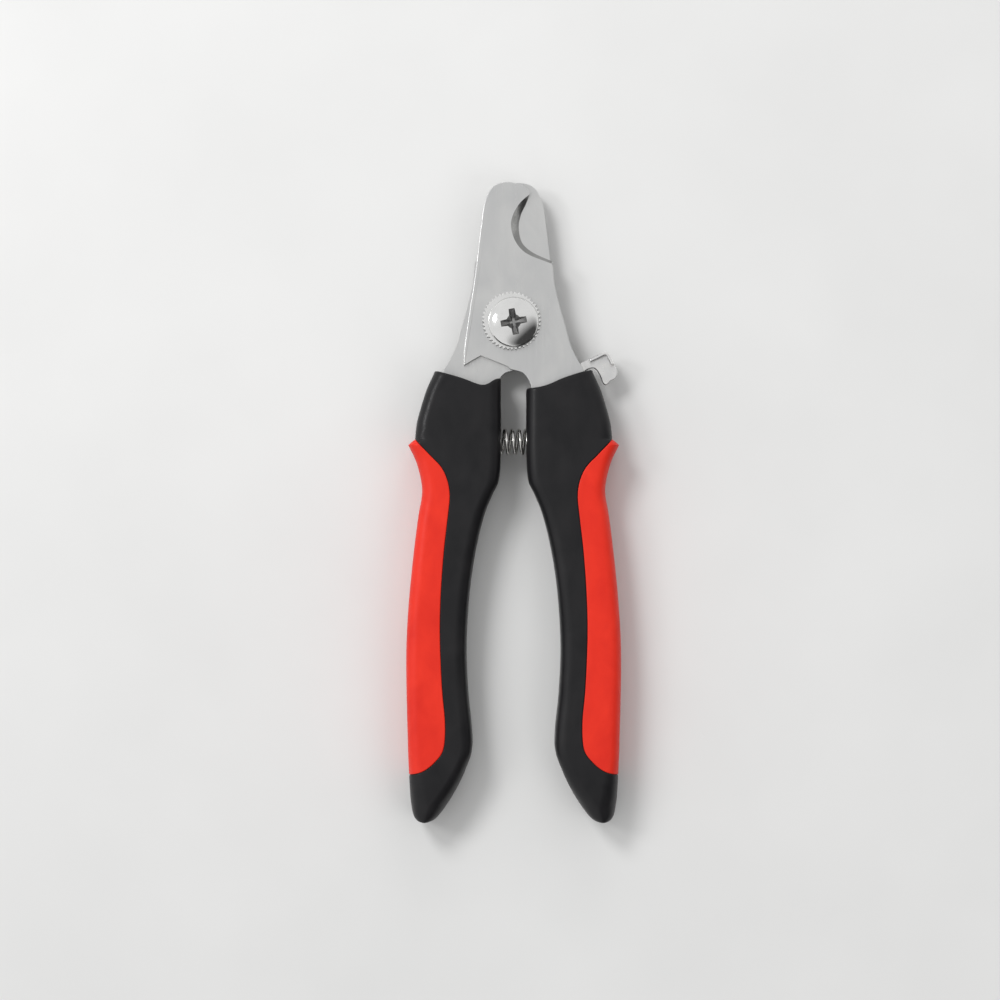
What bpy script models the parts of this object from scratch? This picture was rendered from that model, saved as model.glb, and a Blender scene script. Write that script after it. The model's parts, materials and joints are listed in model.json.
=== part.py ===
"""Pet nail trimmer: two sprung levers with notched blades, closed, lying flat on the backs of its handles.

+X is the trimmer's right, +Y points from the handles to the blade tips, +Z is its front face.
X = 0 goes through the pivot, Y = 0 is half way along and Z = 0 is the back of the handles.
Outlines are in millimetres and become metres as each mesh is made. Everything on the right lever is drawn
once: the left lever's blade, handle and grip are the same shapes turned half a turn about the long axis.
"""

import math

import bmesh
import bpy
from mathutils import Matrix, Vector

MM = 0.001

# Driving dimensions, in millimetres.
HALF_LENGTH = 76.0
HANDLE_DEPTH = 12.0
EDGE_RADIUS = 2.75
SMALLEST_ROUNDING = 0.6
BLADE_THICKNESS = 1.95
BLADE_PLAY = 0.05
RUNNING_PLAY = 0.05
LOOSE_PLAY = 0.1
TANG_PLAY = 0.3
OVERCUT = 1.0

PIVOT_Y = 42.6
BUSH_OUTER_RADIUS = 3.45
BUSH_INNER_RADIUS = 2.55
SCREW_RADIUS = 2.45
SCREW_FOOT_Z = 0.3
SCREW_FOOT_CHAMFER = 0.4
SCREW_HEAD_RADIUS = 6.0
SCREW_HEAD_HEIGHT = 3.0
SCREW_RIM_HEIGHT = 0.9
RECESS_TURN = 10
RECESS_FLOOR = {"depth": 1.9, "reach": 1.0, "half_width": 0.35}
RECESS_MOUTH = {"depth": -0.3, "reach": 2.9, "half_width": 0.75}

TOOTHED_WASHER_CENTRE = (-0.5, PIVOT_Y + 0.35)
TOOTHED_WASHER_RADIUS = 7.0
TOOTHED_WASHER_BORE = 3.15
TOOTHED_WASHER_THICKNESS = 1.2
TOOTH_COUNT = 44
TOOTH_DEPTH = 0.45

WAVE_WASHER_OUTER = 5.4
WAVE_WASHER_MIDDLE = 3.62
LOCK_WASHER_OUTER = 2.4
WAVE_THICKNESS = 0.3
WAVE_HEIGHT = 0.12
WAVE_COUNT = 3

NUT_ACROSS_FLATS = 8.0
NUT_Z = (0.25, 3.25)
NUT_TURN = 10
NUT_SEAT_RADIUS = 3.5
NUT_SEAT_DEPTH = 1.0
NUT_RING_RADII = (SCREW_RADIUS + 0.08, NUT_SEAT_RADIUS - 0.08)
NUT_RING_Z = (0.35, 1.15)

GRIP_THICKNESS = 1.8
GRIP_PLAY = 0.3
GRIP_ENDS = (20.0, -70.0)
CORE_ENDS = (18.0, -69.0)

SPRING_Y = 14.3
SPRING_MEAN_RADIUS = 2.8
SPRING_WIRE_RADIUS = 0.4
SPRING_HALF_LENGTH = 5.7
SPRING_TURNS = 6.5
SOCKET_RADIUS = 3.5
SOCKET_FLOOR_X = 6.0
PEG_RADIUS = 2.05
PEG_HEIGHT = 1.7

LOCK_PIVOT = (9.5, 26.8)
LOCK_THICKNESS = 1.5
LOCK_HUB_RADIUS = 2.6
LOCK_HUB_PLAY = 0.4
LOCK_POCKET_PLAY = 0.9
THUMB_RIM_FOOT = 0.5
THUMB_RIM_RISE = 2.2
RIVET_RADIUS = 1.25
RIVET_HEAD_RADIUS = 2.2
RIVET_HEAD_HEIGHT = 0.7
RIVET_HEAD_CHAMFER = 0.5
RIVET_POCKET_FLOOR = 2.6

# Heights that follow from them.
SHEAR_PLANE = HANDLE_DEPTH / 2
FRONT_BLADE_Z = (SHEAR_PLANE + BLADE_PLAY, SHEAR_PLANE + BLADE_PLAY + BLADE_THICKNESS)
REAR_BLADE_Z = (HANDLE_DEPTH - FRONT_BLADE_Z[1], HANDLE_DEPTH - FRONT_BLADE_Z[0])
TOOTHED_WASHER_Z = (FRONT_BLADE_Z[1] + RUNNING_PLAY,
                    FRONT_BLADE_Z[1] + RUNNING_PLAY + TOOTHED_WASHER_THICKNESS)
LOCK_Z = (SHEAR_PLANE - BLADE_PLAY - LOCK_THICKNESS, SHEAR_PLANE - BLADE_PLAY)

STEEL = (0.60, 0.60, 0.59)
CHROME = (0.86, 0.86, 0.85)
BLACK = (0.022, 0.022, 0.024)
RED = (0.62, 0.045, 0.022)
NYLON = (0.55, 0.56, 0.50)


# ---------------------------------------------------------------- outlines

def smooth(points, steps):
    """A Catmull-Rom curve through the points, with this many steps from each point to the next."""
    knots = [Vector(p) for p in points]
    knots = [2 * knots[0] - knots[1], *knots, 2 * knots[-1] - knots[-2]]
    curve = []
    for a, b, c, d in zip(knots, knots[1:], knots[2:], knots[3:]):
        for step in range(steps):
            t = step / steps
            curve.append(0.5 * (2 * b + (c - a) * t + (2 * a - 5 * b + 4 * c - d) * t**2
                                + (3 * b - a - 3 * c + d) * t**3))
    return [tuple(p) for p in curve] + [tuple(points[-1])]


def arc(centre, radius, start, end, steps):
    """Points on a circle from start to end, in degrees."""
    angles = (math.radians(start + (end - start) * i / steps) for i in range(steps + 1))
    return [(centre[0] + radius * math.cos(a), centre[1] + radius * math.sin(a)) for a in angles]


def grow(outline, distance):
    """The outline, which runs anticlockwise, moved outwards by a distance."""
    grown = []
    for before, here, after in zip(outline[-1:] + outline[:-1], outline, outline[1:] + outline[:1]):
        inward = (Vector(here) - Vector(before)).normalized()
        onward = (Vector(after) - Vector(here)).normalized()
        normal = Vector((inward.y + onward.y, -inward.x - onward.x)).normalized()
        stretch = max(normal.dot(Vector((onward.y, -onward.x))), 0.6)
        grown.append(tuple(Vector(here) + normal * distance / stretch))
    return grown


def value_at(rail, y):
    """The x at which a rail, a list of (x, y) that runs down, passes a height y."""
    for (x0, y0), (x1, y1) in zip(rail, rail[1:]):
        if y1 <= y <= y0:
            return x0 + (x1 - x0) * (y0 - y) / max(y0 - y1, 1e-9)
    return rail[0][0] if y > rail[0][1] else rail[-1][0]


# ---------------------------------------------------------------- meshes

def new_object(name, bm, parent=None):
    """A named object from a bmesh in millimetres, with its faces pointing out."""
    bmesh.ops.remove_doubles(bm, verts=bm.verts, dist=1e-4)
    bmesh.ops.recalc_face_normals(bm, faces=bm.faces)
    bmesh.ops.scale(bm, vec=(MM, MM, MM), verts=bm.verts)
    mesh = bpy.data.meshes.new(name)
    bm.to_mesh(mesh)
    bm.free()
    obj = bpy.data.objects.new(name, mesh)
    bpy.context.scene.collection.objects.link(obj)
    if parent:
        obj.parent = parent
        obj.matrix_parent_inverse = parent.matrix_world.inverted()
    return obj


def half_turn(obj):
    """Turns a mesh half a turn about the trimmer's long axis, at the shear plane."""
    middle = Matrix.Translation((0, 0, SHEAR_PLANE * MM))
    obj.data.transform(middle @ Matrix.Rotation(math.pi, 4, "Y") @ middle.inverted())


def loft(name, sections, parent=None):
    """A solid through rings of equally many points, closed by a face at each end."""
    bm = bmesh.new()
    rings = [[bm.verts.new(p) for p in section] for section in sections]
    for low, high in zip(rings, rings[1:]):
        for i in range(len(low)):
            j = (i + 1) % len(low)
            bm.faces.new((low[i], low[j], high[j], high[i]))
    bm.faces.new(reversed(rings[0]))
    bm.faces.new(rings[-1])
    return new_object(name, bm, parent)


def prism(name, outline, low, high, parent=None):
    """A plate with this outline between two heights."""
    return loft(name, [[(x, y, z) for x, y in outline] for z in (low, high)], parent)


def cylinder(name, centre, radius, low, high, steps=32, parent=None):
    """A round bar along Z."""
    outline = arc(centre, radius, 0, 360, steps)[:-1]
    return prism(name, outline, low, high, parent)


def turned(name, centre, profile, steps, parent=None):
    """A round solid about a vertical axis, from (radius, height) points that run around its section."""
    bm = bmesh.new()
    rings = []
    for i in range(steps):
        angle = 2 * math.pi * i / steps
        rings.append([
            bm.verts.new((centre[0] + r * math.cos(angle), centre[1] + r * math.sin(angle), z))
            for r, z in profile
        ])
    for ring, following in zip(rings, rings[1:] + rings[:1]):
        for i in range(len(profile)):
            j = (i + 1) % len(profile)
            bm.faces.new((ring[i], ring[j], following[j], following[i]))
    bmesh.ops.remove_doubles(bm, verts=bm.verts, dist=1e-4)
    bmesh.ops.dissolve_degenerate(bm, edges=bm.edges, dist=1e-4)
    return new_object(name, bm, parent)


def combine(obj, other, operation):
    """Joins, cuts or keeps the common part of a solid with a helper that is hidden afterwards."""
    modifier = obj.modifiers.new(other.name, "BOOLEAN")
    modifier.object = other
    modifier.operation = operation
    modifier.solver = "EXACT"
    other.hide_render = True
    other.display_type = "WIRE"


def finish(obj, colour, roughness, metallic, sharp=35):
    """Gives a piece its own material, and shades its rounded faces smooth."""
    material = bpy.data.materials.new(obj.name)
    material.use_nodes = True
    shader = material.node_tree.nodes["Principled BSDF"]
    shader.inputs["Base Color"].default_value = (*colour, 1)
    shader.inputs["Roughness"].default_value = roughness
    shader.inputs["Metallic"].default_value = metallic
    material.diffuse_color = (*colour, 1)
    obj.data.materials.append(material)
    if obj.type == "MESH":
        obj.data.shade_smooth()
        obj.data.set_sharp_from_angle(angle=math.radians(sharp))


# ---------------------------------------------------------------- blades

def blade_outline(bevel):
    """A blade's outline, anticlockwise: bevel 0 is at the shear plane and 1 at the blade's outer face."""
    right_edge = smooth([(17.2, 22.0), (17.2, 27.5), (16.6, 31.4), (15.3, 33.6), (13.6, 37.2),
                         (12.4, 41.5), (11.0, 46.4), (9.8, 51.6), (9.3, 56.2)], 2)
    cutting_edge = smooth([(9.2, 57.3), (4.6, 59.4), (2.0, 61.8), (1.2, 65.4), (1.7, 68.3),
                           (2.8, 70.7), (3.8, 73.1)], 3)
    bevel_top = smooth([(9.0, 56.6), (3.3, 58.9), (0.6, 61.6), (-0.6, 65.2), (-0.2, 68.1),
                        (1.5, 71.0), (3.8, 73.1)], 3)
    notch = [tuple(Vector(a).lerp(Vector(b), bevel)) for a, b in zip(cutting_edge, bevel_top)]
    left_edge = smooth([(3.9, 73.7), (2.2, 75.1), (-1.4, HALF_LENGTH), (-4.7, 75.0), (-6.6, 71.9),
                        (-7.5, 67.5), (-9.1, 54.3), (-10.5, 45.0), (-11.7, 36.4), (-11.8, 32.4)], 3)
    lower_edge = smooth([(-7.8, 34.7), (-3.9, 33.2), (-1.5, 32.2)], 1)
    throat = smooth([(-0.7, 31.5), (0.6, 31.2), (2.1, 30.7), (3.2, 29.5), (4.1, 27.5), (4.4, 23.8)], 2)
    tang_inner = smooth([(7.5, 19.6), (7.5, 8.7), (9.0, 0.0), (12.6, -10.0), (14.6, -20.0),
                         (15.0, -32.0), (14.6, -45.0), (13.9, -55.0)], 2)
    tang_end = arc((15.6, -55.6), 1.8, 200, 340, 6)
    tang_outer = smooth([(18.0, -50.0), (18.7, -40.0), (18.7, -28.0), (17.9, -16.0),
                         (16.6, -6.0), (15.6, 4.0), (16.0, 14.0)], 2)
    return right_edge + notch + left_edge + lower_edge + throat + tang_inner + tang_end + tang_outer


def make_blade(name, parent=None):
    """A notched blade and its tang, with the hole for the pivot bush."""
    low, high = FRONT_BLADE_Z
    sections = [[(x, y, z) for x, y in blade_outline(bevel)] for bevel, z in enumerate((low, high))]
    blade = loft(name, sections, parent)
    hole = cylinder(f"{name}_pivot_hole", (0, PIVOT_Y), BUSH_OUTER_RADIUS + RUNNING_PLAY,
                    low - OVERCUT, high + OVERCUT)
    combine(blade, hole, "DIFFERENCE")
    return blade


def make_front_blade(parent):
    """The blade on the right lever, which also carries the lock's rivet."""
    blade = make_blade("front_blade", parent)
    low, high = FRONT_BLADE_Z
    rivet_hole = cylinder("rivet_hole", LOCK_PIVOT, RIVET_RADIUS + LOOSE_PLAY,
                          low - OVERCUT, high + OVERCUT, 20)
    combine(blade, rivet_hole, "DIFFERENCE")
    finish(blade, STEEL, 0.32, 1.0)


def make_rear_blade():
    """The blade on the left lever, behind the shear plane."""
    blade = make_blade("rear_blade")
    half_turn(blade)
    half_turn(bpy.data.objects["rear_blade_pivot_hole"])
    finish(blade, STEEL, 0.35, 1.0)


# ---------------------------------------------------------------- handles and grips

INNER_RAIL = smooth([(3.0, 36.0), (3.0, 24.0), (3.0, 12.0), (3.5, 5.2), (4.9, 2.0), (7.0, -3.3),
                     (9.05, -11.9), (10.5, -22.0), (11.2, -34.0), (10.8, -45.0), (9.9, -54.0),
                     (9.9, -59.0), (11.3, -63.2), (13.1, -67.2), (15.4, -71.2), (17.8, -74.2)], 3)
OUTER_RAIL = (smooth([(18.4, 36.0), (18.6, 31.4), (20.8, 26.0), (22.8, 19.5), (23.4, 14.9)], 2)
              + smooth([(25.0, 13.5), (22.9, 8.9), (21.7, 2.8), (22.6, -3.3), (23.7, -12.0),
                        (24.8, -23.0), (25.4, -33.0), (25.45, -42.0), (25.1, -57.0), (24.8, -65.0),
                        (24.5, -70.5), (23.9, -74.2)], 3))
RIGHT_TOP_EDGE = [(1.0, 26.8), (5.9, 27.2), (8.4, 27.9), (11.6, 29.3), (15.5, 30.6), (22.0, 32.0)]
LEFT_TOP_EDGE = [(1.0, 29.3), (3.9, 29.3), (4.9, 28.9), (6.3, 27.8), (8.1, 27.8), (12.5, 29.4),
                 (17.8, 30.9), (22.0, 31.8)]
GRIP_EDGE = smooth([(23.6, 15.0), (19.9, 11.2), (17.0, 8.1), (15.5, 4.6), (15.1, 1.0), (15.6, -4.0),
                    (16.5, -12.0), (17.2, -22.0), (17.4, -32.0), (16.9, -44.0), (16.2, -52.0),
                    (16.5, -58.0), (18.2, -61.0), (21.6, -63.7), (27.0, -65.0)], 2)
HEAD_END = 35.0
ARM_END = -74.2
HANDLE_END = [(-75.3, 19.1, 23.2, 1.2, 1.9), (-HALF_LENGTH, 20.3, 22.2, 2.8, 0.9)]
TIP_START = -60.0
TIP_ROUNDING = 0.12
SECTION_SPACING = 2.3
HORN_SPACING = 0.3
HORN = (12.5, 15.5)
FILL = 0.48


def handle_section(y, left, right, low, high, radius):
    """A rounded rectangle across the handle at y, with four points on each of its corners."""
    radius = min(radius, FILL * (right - left), FILL * (high - low))
    corners = [(right, high, -1, -1, 0), (left, high, 1, -1, 90), (left, low, 1, 1, 180),
               (right, low, -1, 1, 270)]
    ring = []
    for x, z, into_x, into_z, start in corners:
        centre = (x + into_x * radius, z + into_z * radius)
        ring += [(px, y, pz) for px, pz in arc(centre, radius, start, start + 90, 3)]
    return ring


def handle_stations(highest, lowest):
    """Where the handle's cross-sections are: closer together at the horn, the waist and the tip."""
    rows = [y for _, y in OUTER_RAIL + INNER_RAIL if lowest < y < highest]
    rows = sorted([highest, lowest, *rows], reverse=True)
    kept = rows[:1]
    for y in rows[1:]:
        spacing = HORN_SPACING if HORN[0] < y < HORN[1] else SECTION_SPACING
        if kept[-1] - y > spacing:
            kept.append(y)
    return kept


def handle_body(name, inset, highest, lowest, parent=None):
    """The outside of a handle between two heights, grip included, drawn in by an inset."""
    sections = []
    for y in handle_stations(highest, lowest):
        left = value_at(INNER_RAIL, y) + inset
        right = value_at(OUTER_RAIL, y) - inset
        rounding = EDGE_RADIUS + TIP_ROUNDING * max(TIP_START - y, 0) - inset
        sections.append(handle_section(y, left, right, inset, HANDLE_DEPTH - inset,
                                       max(rounding, SMALLEST_ROUNDING)))
    if lowest == ARM_END:
        for y, left, right, setback, rounding in HANDLE_END:
            sections.append(handle_section(y, left, right, setback, HANDLE_DEPTH - setback, rounding))
    return loft(name, sections, parent)


def grip_zone(name, margin):
    """The part of the handle's plan that the soft grip covers, with a margin all round it."""
    beyond = max(x for x, _ in OUTER_RAIL) + 6
    outline = [*GRIP_EDGE, (beyond, GRIP_EDGE[-1][1]), (beyond, GRIP_EDGE[0][1])]
    return prism(name, grow(outline, margin), -OVERCUT, HANDLE_DEPTH + OVERCUT)


def make_grip(name, left, parent=None):
    """A soft sleeve over the outer side of a handle, open towards the handle's core."""
    grip = handle_body(name, 0.0, *GRIP_ENDS, parent)
    zone = grip_zone(f"{name}_zone", -GRIP_PLAY / 2)
    core = handle_body(f"{name}_hollow", GRIP_THICKNESS, *CORE_ENDS)
    combine(grip, zone, "INTERSECT")
    combine(grip, core, "DIFFERENCE")
    if left:
        for obj in (grip, zone, core):
            half_turn(obj)
    finish(grip, RED, 0.45, 0.0)


def make_handle(name, left, parent=None):
    """A moulded handle: a core under the grip, a pocket for the tang and a seat for the spring."""
    handle = handle_body(name, 0.0, HEAD_END, ARM_END, parent)
    edge = LEFT_TOP_EDGE if left else RIGHT_TOP_EDGE
    above = HEAD_END + OVERCUT
    top = prism(f"{name}_top_cut", [*edge, (edge[-1][0], above), (edge[0][0], above)],
                -OVERCUT, HANDLE_DEPTH + OVERCUT)
    recess = grip_zone(f"{name}_grip_recess", GRIP_PLAY / 2)
    core = handle_body(f"{name}_core", GRIP_THICKNESS + GRIP_PLAY, *CORE_ENDS)
    combine(recess, core, "DIFFERENCE")
    pocket = prism(f"{name}_tang_pocket", grow(blade_outline(0), TANG_PLAY),
                   FRONT_BLADE_Z[0] - TANG_PLAY / 2, FRONT_BLADE_Z[1] + TANG_PLAY / 2)
    socket = spring_socket(f"{name}_spring_socket")
    cutters = [top, recess, pocket, socket]
    if not left:
        cutters += lock_pockets()
    for cutter in cutters:
        combine(handle, cutter, "DIFFERENCE")
    if left:
        for obj in (handle, core, *cutters):
            half_turn(obj)
    finish(handle, BLACK, 0.38, 0.0)


def spring_socket(name):
    """A round socket across the handle's inner face that leaves a peg for the spring's last coil."""
    profile = [(0.0, SOCKET_FLOOR_X - PEG_HEIGHT), (PEG_RADIUS, SOCKET_FLOOR_X - PEG_HEIGHT),
               (PEG_RADIUS, SOCKET_FLOOR_X), (SOCKET_RADIUS, SOCKET_FLOOR_X), (SOCKET_RADIUS, 0.0),
               (0.0, 0.0)]
    socket = turned(name, (0, 0), profile, 28)
    lie_down = Matrix.Translation((0, SPRING_Y * MM, SHEAR_PLANE * MM))
    socket.data.transform(lie_down @ Matrix.Rotation(math.pi / 2, 4, "Y"))
    return socket


def lock_pockets():
    """The room in the right handle for the lock lever's swing and for its rivet's head."""
    hub = arc(LOCK_PIVOT, LOCK_HUB_RADIUS + LOCK_HUB_PLAY, 180, 300, 8)
    outline = [(6.3, 35.0), *hub, (13.2, 25.3), (15.2, 27.0), (16.7, 29.0), (17.5, 30.8), (17.6, 35.0)]
    swing = prism("lock_swing_pocket", outline, LOCK_Z[0] - LOCK_POCKET_PLAY, SHEAR_PLANE)
    head = cylinder("rivet_head_pocket", LOCK_PIVOT, RIVET_HEAD_RADIUS + LOCK_HUB_PLAY,
                    RIVET_POCKET_FLOOR, SHEAR_PLANE, 20)
    return [swing, head]


# ---------------------------------------------------------------- pivot hardware

def make_pivot_screw():
    """A pan-head screw with a cross recess, from the front through both blades into the nut."""
    base = TOOTHED_WASHER_Z[1] + RUNNING_PLAY
    rim = base + SCREW_RIM_HEIGHT
    dome = SCREW_HEAD_HEIGHT - SCREW_RIM_HEIGHT
    crown = [(SCREW_HEAD_RADIUS * math.cos(a), rim + dome * math.sin(a))
             for a in (math.radians(step * 15) for step in range(1, 7))]
    profile = [(0.0, SCREW_FOOT_Z), (SCREW_RADIUS - SCREW_FOOT_CHAMFER, SCREW_FOOT_Z),
               (SCREW_RADIUS, SCREW_FOOT_Z + SCREW_FOOT_CHAMFER), (SCREW_RADIUS, base),
               (SCREW_HEAD_RADIUS, base), (SCREW_HEAD_RADIUS, rim), *crown]
    screw = turned("pivot_screw", (0, PIVOT_Y), profile, 40)
    for turn in (RECESS_TURN, RECESS_TURN + 90):
        recess = recess_arm(f"screw_recess_{turn}", turn, base + SCREW_HEAD_HEIGHT)
        combine(screw, recess, "DIFFERENCE")
    finish(screw, CHROME, 0.12, 1.0)


def recess_arm(name, turn, top):
    """One bar of the cross recess, narrower at its floor."""
    sections = []
    for end in (RECESS_FLOOR, RECESS_MOUTH):
        reach, half, z = end["reach"], end["half_width"], top - end["depth"]
        sections.append([(-reach, -half, z), (reach, -half, z), (reach, half, z), (-reach, half, z)])
    arm = loft(name, sections)
    place = Matrix.Translation((0, PIVOT_Y * MM, 0))
    arm.data.transform(place @ Matrix.Rotation(math.radians(turn), 4, "Z"))
    return arm


def make_toothed_washer():
    """A loose washer with fine teeth around its rim, a little off centre under the screw's head."""
    low, high = TOOTHED_WASHER_Z
    x, y = TOOTHED_WASHER_CENTRE
    outline = []
    for i in range(2 * TOOTH_COUNT):
        angle = math.pi * i / TOOTH_COUNT
        radius = TOOTHED_WASHER_RADIUS - TOOTH_DEPTH * (i % 2)
        outline.append((x + radius * math.cos(angle), y + radius * math.sin(angle)))
    washer = prism("toothed_washer", outline, low, high)
    bore = cylinder("washer_bore", TOOTHED_WASHER_CENTRE, TOOTHED_WASHER_BORE, low - OVERCUT, high + OVERCUT)
    combine(washer, bore, "DIFFERENCE")
    finish(washer, CHROME, 0.22, 1.0)


def make_pivot_bush():
    """The plain bush that both blades turn on."""
    low, high = REAR_BLADE_Z[0], FRONT_BLADE_Z[1]
    profile = [(BUSH_INNER_RADIUS, low), (BUSH_OUTER_RADIUS, low), (BUSH_OUTER_RADIUS, high),
               (BUSH_INNER_RADIUS, high)]
    bush = turned("pivot_bush", (0, PIVOT_Y), profile, 28)
    finish(bush, STEEL, 0.3, 1.0)


def make_wave_washer(name, centre, inner, outer, middle, parent=None):
    """A thin spring washer whose ring rises and falls as it goes round."""
    steps = 8 * WAVE_COUNT
    bm = bmesh.new()
    rings = []
    for i in range(steps):
        angle = 2 * math.pi * i / steps
        z = middle + WAVE_HEIGHT * math.sin(WAVE_COUNT * angle)
        low, high = z - WAVE_THICKNESS / 2, z + WAVE_THICKNESS / 2
        rings.append([
            bm.verts.new((centre[0] + r * math.cos(angle), centre[1] + r * math.sin(angle), h))
            for r, h in ((inner, low), (outer, low), (outer, high), (inner, high))
        ])
    for ring, following in zip(rings, rings[1:] + rings[:1]):
        for i in range(4):
            j = (i + 1) % 4
            bm.faces.new((ring[i], ring[j], following[j], following[i]))
    washer = new_object(name, bm, parent)
    finish(washer, STEEL, 0.3, 1.0)


def make_lock_nut():
    """A hexagon nut behind the rear blade, hollowed at its far end for the nylon ring."""
    low, high = NUT_Z
    corner_radius = NUT_ACROSS_FLATS / 2 / math.cos(math.pi / 6)
    nut = prism("lock_nut", arc((0, PIVOT_Y), corner_radius, NUT_TURN, NUT_TURN + 360, 6)[:-1], low, high)
    bore = cylinder("nut_bore", (0, PIVOT_Y), SCREW_RADIUS + LOOSE_PLAY, low - OVERCUT, high + OVERCUT)
    seat = cylinder("nut_ring_seat", (0, PIVOT_Y), NUT_SEAT_RADIUS, low - OVERCUT, low + NUT_SEAT_DEPTH)
    combine(nut, bore, "DIFFERENCE")
    combine(nut, seat, "DIFFERENCE")
    finish(nut, STEEL, 0.28, 1.0)


def make_nut_ring():
    """The nylon ring that keeps the nut from working loose."""
    inner, outer = NUT_RING_RADII
    low, high = NUT_RING_Z
    ring = turned("nut_ring", (0, PIVOT_Y), [(inner, low), (outer, low), (outer, high), (inner, high)], 28)
    finish(ring, NYLON, 0.5, 0.0)


# ---------------------------------------------------------------- handle spring and lock

def make_handle_spring():
    """An open coil between the two handles."""
    per_turn = 14
    curve = bpy.data.curves.new("handle_spring", "CURVE")
    curve.dimensions = "3D"
    curve.bevel_depth = SPRING_WIRE_RADIUS * MM
    curve.bevel_resolution = 2
    curve.use_fill_caps = True
    steps = int(SPRING_TURNS * per_turn)
    spline = curve.splines.new("POLY")
    spline.points.add(steps)
    reach = SPRING_HALF_LENGTH - SPRING_WIRE_RADIUS
    for i, point in enumerate(spline.points):
        angle = 2 * math.pi * i / per_turn
        place = (-reach + 2 * reach * i / steps, SPRING_Y + SPRING_MEAN_RADIUS * math.cos(angle),
                 SHEAR_PLANE + SPRING_MEAN_RADIUS * math.sin(angle))
        point.co = (*(MM * value for value in place), 1)
    spring = bpy.data.objects.new("handle_spring", curve)
    bpy.context.scene.collection.objects.link(spring)
    finish(spring, CHROME, 0.25, 1.0)


def make_lock_lever(parent):
    """A flat lever with a nose that drops in behind the rear blade's heel, and a thumb tab."""
    hub = arc(LOCK_PIVOT, LOCK_HUB_RADIUS, 120, 290, 10)
    arm = smooth([(12.7, 25.9), (14.7, 27.5), (16.1, 29.4), (17.2, 31.3), (19.2, 31.85), (20.5, 30.3),
                  (21.3, 28.3), (22.2, 27.9), (23.1, 28.8), (24.3, 29.4), (24.8, 30.8), (24.1, 32.6),
                  (23.1, 34.6), (22.4, 35.6), (21.5, 35.8)], 2)
    back = smooth([(18.7, 34.3), (15.9, 33.0), (14.5, 31.0), (13.7, 30.4)], 2)
    nose = [(13.2, 30.8), (12.9, 31.2), (12.5, 31.9), (12.1, 32.05), (11.7, 31.7), (11.3, 30.9),
            (10.4, 29.4)]
    lever = prism("lock_lever", hub + arm + back + nose, *LOCK_Z, parent)
    rim_outer = smooth([(17.8, 33.92), (19.8, 34.87), (21.5, 35.8), (22.4, 35.6), (23.1, 34.6),
                        (24.1, 32.6)], 2)
    rim_inner = [(23.2, 32.2), (22.3, 34.0), (21.8, 34.65), (20.2, 33.9), (18.2, 33.0)]
    rim_outline = list(reversed(rim_outer)) + list(reversed(rim_inner))
    rim = prism("thumb_rim", rim_outline, LOCK_Z[0] + THUMB_RIM_FOOT, LOCK_Z[1] + THUMB_RIM_RISE)
    hole = cylinder("lock_lever_hole", LOCK_PIVOT, RIVET_RADIUS + RUNNING_PLAY,
                    LOCK_Z[0] - OVERCUT, LOCK_Z[1] + OVERCUT, 20)
    combine(lever, rim, "UNION")
    combine(lever, hole, "DIFFERENCE")
    finish(lever, STEEL, 0.3, 1.0)


def make_lock_rivet(parent):
    """The rivet, flush with the front of the tang, that the lock lever turns on."""
    front, back = FRONT_BLADE_Z[1], LOCK_Z[0] - RIVET_HEAD_HEIGHT
    end = back - RIVET_HEAD_HEIGHT
    profile = [(0.0, end), (RIVET_HEAD_RADIUS - RIVET_HEAD_CHAMFER, end),
               (RIVET_HEAD_RADIUS, end + RIVET_HEAD_CHAMFER), (RIVET_HEAD_RADIUS, back),
               (RIVET_RADIUS, back), (RIVET_RADIUS, front), (0.0, front)]
    rivet = turned("lock_rivet", LOCK_PIVOT, profile, 20, parent)
    finish(rivet, STEEL, 0.3, 1.0)


# ---------------------------------------------------------------- assembly

def pivot_empty(name, x, y, parent=None):
    """An empty on a joint's axis, which carries the pieces that turn about it."""
    empty = bpy.data.objects.new(name, None)
    bpy.context.scene.collection.objects.link(empty)
    empty.location = (x * MM, y * MM, SHEAR_PLANE * MM)
    bpy.context.view_layer.update()
    if parent:
        empty.parent = parent
        empty.matrix_parent_inverse = parent.matrix_world.inverted()
        bpy.context.view_layer.update()
    return empty


def main():
    for obj in list(bpy.data.objects):
        bpy.data.objects.remove(obj)
    right_lever = pivot_empty("right_lever_axis", 0, PIVOT_Y)
    lock = pivot_empty("lock_axis", *LOCK_PIVOT, right_lever)
    make_rear_blade()
    make_handle("left_handle", True)
    make_grip("left_grip", True)
    make_pivot_screw()
    make_toothed_washer()
    make_pivot_bush()
    make_wave_washer("wave_washer", (0, PIVOT_Y), SCREW_RADIUS + LOOSE_PLAY, WAVE_WASHER_OUTER,
                     WAVE_WASHER_MIDDLE)
    make_lock_nut()
    make_nut_ring()
    make_handle_spring()
    make_front_blade(right_lever)
    make_handle("right_handle", False, right_lever)
    make_grip("right_grip", False, right_lever)
    make_lock_rivet(right_lever)
    make_wave_washer("lock_wave_washer", LOCK_PIVOT, RIVET_RADIUS + LOOSE_PLAY, LOCK_WASHER_OUTER,
                     LOCK_Z[0] - RIVET_HEAD_HEIGHT / 2, right_lever)
    make_lock_lever(lock)


main()
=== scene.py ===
"""Looks of the pet nail trimmer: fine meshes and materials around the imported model.

Outlines are in millimetres, in the part's own frame, and become metres as each mesh is made. Blades, handles
and grips are all drawn as the right lever's or the front one's; the others are then turned half a turn about
the long axis.
"""
import json
import math

import bmesh
import bpy
import numpy as np
from mathutils import Matrix, Vector


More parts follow.
